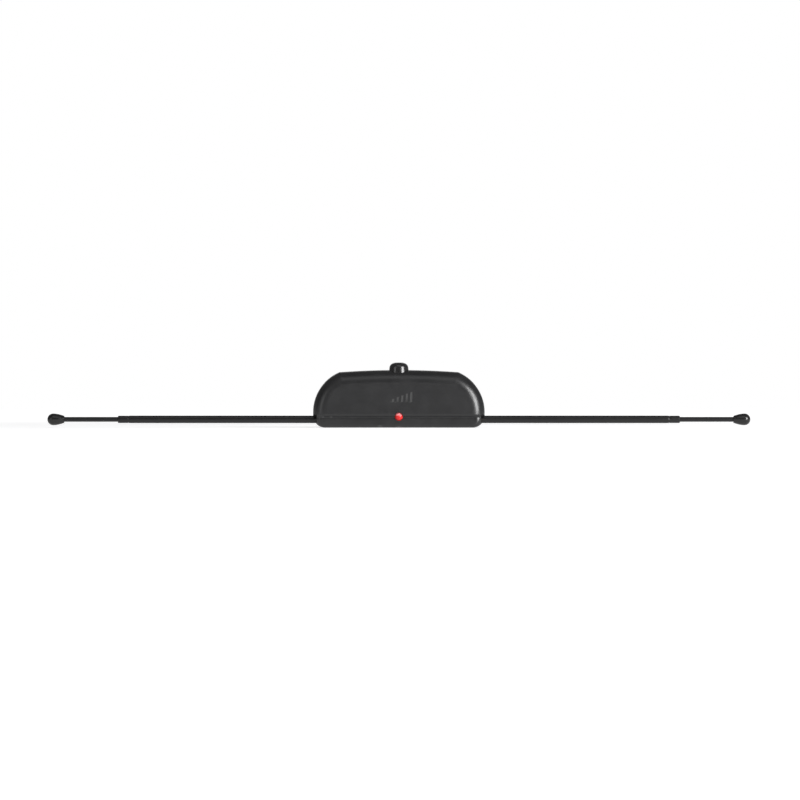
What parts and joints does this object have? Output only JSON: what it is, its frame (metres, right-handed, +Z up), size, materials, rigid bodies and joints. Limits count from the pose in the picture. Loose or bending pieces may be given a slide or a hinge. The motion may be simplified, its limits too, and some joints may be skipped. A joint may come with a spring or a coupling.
{
  "type": "rabbit ears antenna",
  "caption": "Slim black stick-on amplified antenna: a domed housing with a red indicator and a cable gland, and a swinging telescopic rod with a drop-shaped tip at each side.",
  "frame": {"origin": "middle of the bottom of the whole object, on the surface that the housing stands on", "axes": "+X along the right arm, seen from the front; +Y away from the face, towards the foam pad; +Z up"},
  "size_m": [0.4356, 0.019, 0.0403],
  "materials": {
    "housing_plastic": "fine moulded grain, black",
    "gland_plastic": "smooth glossy soft plastic, black",
    "tip_plastic": "smooth semi-gloss moulding, black",
    "foam": "closed-cell adhesive foam, dark",
    "black_tube": "satin black coating on brass tube",
    "black_rod": "satin black coating on steel rod",
    "brass": "turned, dull",
    "tinned_brass": "tinned stamping",
    "nylon": "natural nylon",
    "plated_steel": "zinc plated",
    "red_lens": "tinted translucent epoxy lens",
    "laminate": "solder-resist over glass laminate",
    "ferrite": "sintered, dull grey-brown",
    "copper_wire": "enamelled copper",
    "epoxy": "moulded black epoxy",
    "can_sleeve": "shrink sleeve, dark blue",
    "ceramic_coat": "dipped brown coating",
    "resistor_coat": "beige lacquer",
    "wire_insulation": "extruded PVC insulation"
  },
  "bodies": {
    "housing": {"front_cover": "housing_plastic", "back_cover": "housing_plastic", "foam_pad": "foam", "cable_gland": "gland_plastic", "cover_screws": "plated_steel", "circuit_board": "laminate", "board_screws": "plated_steel", "led_lens": "red_lens", "led_leads": "plated_steel", "balun_core": "ferrite", "balun_winding": "copper_wire", "transistor": "epoxy", "electrolytic_capacitor": "can_sleeve", "disc_capacitors": "ceramic_coat", "resistors": "resistor_coat", "right_pivot_screw": "plated_steel", "right_spring_washer": "plated_steel", "right_solder_tag": "tinned_brass", "right_lead_wire": "wire_insulation", "left_pivot_screw": "plated_steel", "left_spring_washer": "plated_steel", "left_solder_tag": "tinned_brass", "left_lead_wire": "wire_insulation"},
    "right_arm": {"right_swivel": "brass", "right_outer_tube": "black_tube", "right_guide_bush": "nylon"},
    "right_rod": {"right_inner_rod": "black_rod", "right_friction_clip": "brass", "right_tip_cap": "tip_plastic"},
    "left_arm": {"left_swivel": "brass", "left_outer_tube": "black_tube", "left_guide_bush": "nylon"},
    "left_rod": {"left_inner_rod": "black_rod", "left_friction_clip": "brass", "left_tip_cap": "tip_plastic"}
  },
  "joints": [
    {"name": "right_arm_swing", "type": "hinge", "parent": "housing", "child": "right_arm", "pos_m": [0.043, 0, 0.0051], "axis": [0, -1, 0], "range_deg": [0, 75]},
    {"name": "right_rod_slide", "type": "slide", "parent": "right_arm", "child": "right_rod", "axis": [1, 0, 0], "range_m": [-0.0328, 0.067]},
    {"name": "left_arm_swing", "type": "hinge", "parent": "housing", "child": "left_arm", "pos_m": [-0.043, 0, 0.0051], "axis": [0, 1, 0], "range_deg": [0, 75]},
    {"name": "left_rod_slide", "type": "slide", "parent": "left_arm", "child": "left_rod", "axis": [-1, 0, 0], "range_m": [-0.0328, 0.067]}
  ]
}
